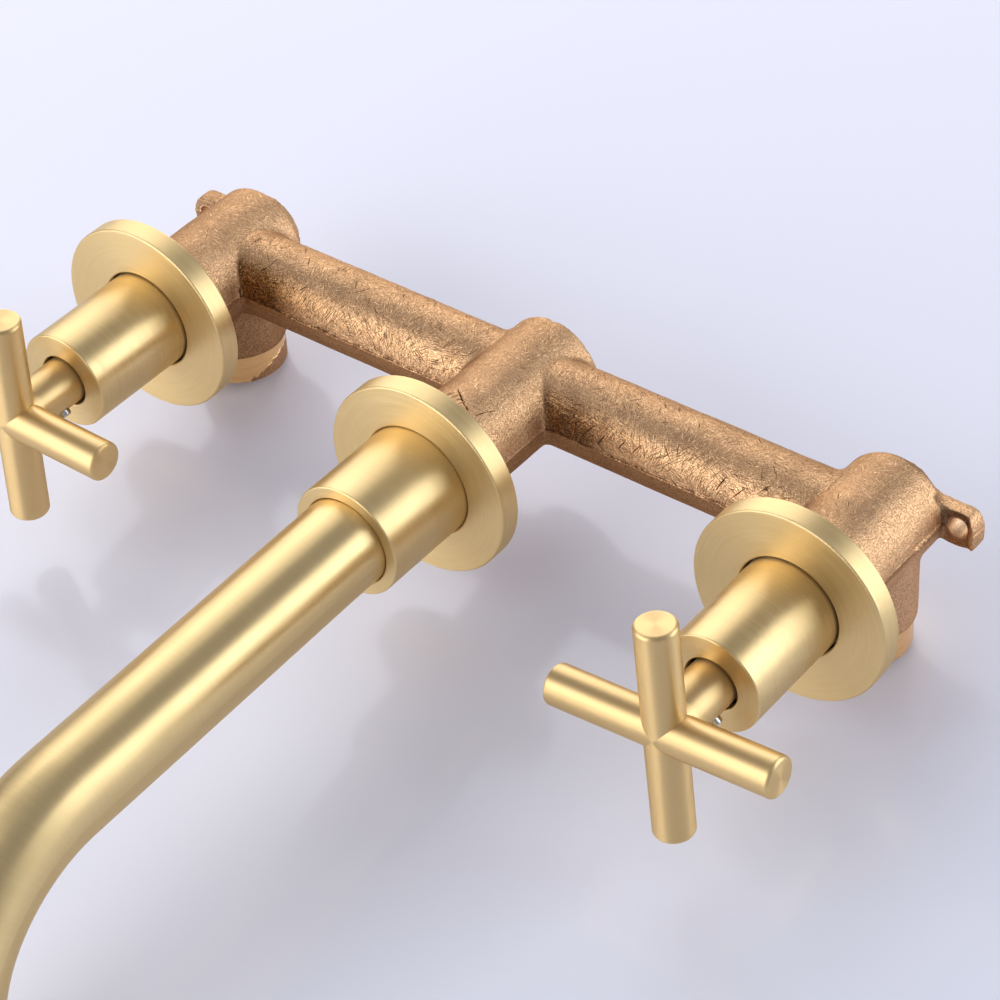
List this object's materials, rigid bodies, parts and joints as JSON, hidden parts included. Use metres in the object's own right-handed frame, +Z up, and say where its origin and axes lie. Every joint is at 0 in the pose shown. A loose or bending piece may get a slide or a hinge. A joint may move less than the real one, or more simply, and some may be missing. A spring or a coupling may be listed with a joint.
{
  "type": "wall mounted bathroom mixer tap",
  "caption": "Three-hole wall mixer: cast valve body with wall ears and inlets underneath, cross handles, sliding flanges and a bent swivel spout.",
  "frame": {"origin": "midway between the two wall screw holes, on the back of the wall ears", "axes": "+X to the right along the pipe as seen by the user, +Y into the wall, +Z up"},
  "size_m": [0.266, 0.2492, 0.0924],
  "materials": {
    "cast_brass": "rough sand-cast brass, ground in places",
    "brushed_gold": "satin brushed gold plate on brass",
    "machined_brass": "plain turned brass",
    "stainless": "plain stainless steel",
    "black_rubber": "black nitrile rubber",
    "fibre": "red fibre gasket",
    "ceramic": "white alumina, lapped",
    "white_plastic": "white acetal"
  },
  "bodies": {
    "root": {"valve_body": "cast_brass", "hot_headwork": "machined_brass", "hot_headwork_gasket": "fibre", "hot_seat_seal": "black_rubber", "hot_fixed_disc": "ceramic", "hot_thrust_washer": "white_plastic", "hot_sleeve": "brushed_gold", "cold_headwork": "machined_brass", "cold_headwork_gasket": "fibre", "cold_seat_seal": "black_rubber", "cold_fixed_disc": "ceramic", "cold_thrust_washer": "white_plastic", "cold_sleeve": "brushed_gold", "spout_connector": "machined_brass", "connector_gasket": "fibre", "connector_rings": "black_rubber", "spout_sleeve": "brushed_gold"},
    "hot_handle": {"hot_handle": "brushed_gold", "hot_grub_screw": "stainless", "hot_spindle": "machined_brass", "hot_spindle_rings": "black_rubber", "hot_spindle_clip": "stainless", "hot_moving_disc": "ceramic"},
    "cold_handle": {"cold_handle": "brushed_gold", "cold_grub_screw": "stainless", "cold_spindle": "machined_brass", "cold_spindle_rings": "black_rubber", "cold_spindle_clip": "stainless", "cold_moving_disc": "ceramic"},
    "spout": {"spout_tube": "brushed_gold", "spout_retainer": "machined_brass", "aerator_housing": "machined_brass", "aerator_screen": "white_plastic", "aerator_seal": "black_rubber"},
    "hot_flange": {"hot_flange": "brushed_gold", "hot_flange_ring": "black_rubber"},
    "cold_flange": {"cold_flange": "brushed_gold", "cold_flange_ring": "black_rubber"},
    "spout_flange": {"spout_flange": "brushed_gold", "spout_flange_ring": "black_rubber"}
  },
  "joints": [
    {"name": "hot_handle_turn", "type": "hinge", "parent": "root", "child": "hot_handle", "pos_m": [-0.1016, -0.1017, 0], "axis": [0, -1, 0], "range_deg": [0, 90]},
    {"name": "cold_handle_turn", "type": "hinge", "parent": "root", "child": "cold_handle", "pos_m": [0.1016, -0.1017, 0], "axis": [0, 1, 0], "range_deg": [0, 90]},
    {"name": "spout_swivel", "type": "hinge", "parent": "root", "child": "spout", "pos_m": [0, -0.0783, 0], "axis": [0, -1, 0], "range_deg": [-90, 90]},
    {"name": "hot_flange_slide", "type": "slide", "parent": "root", "child": "hot_flange", "axis": [0, -1, 0], "range_m": [0, 0.025]},
    {"name": "cold_flange_slide", "type": "slide", "parent": "root", "child": "cold_flange", "axis": [0, -1, 0], "range_m": [0, 0.025]},
    {"name": "spout_flange_slide", "type": "slide", "parent": "root", "child": "spout_flange", "axis": [0, -1, 0], "range_m": [0, 0.022]}
  ]
}
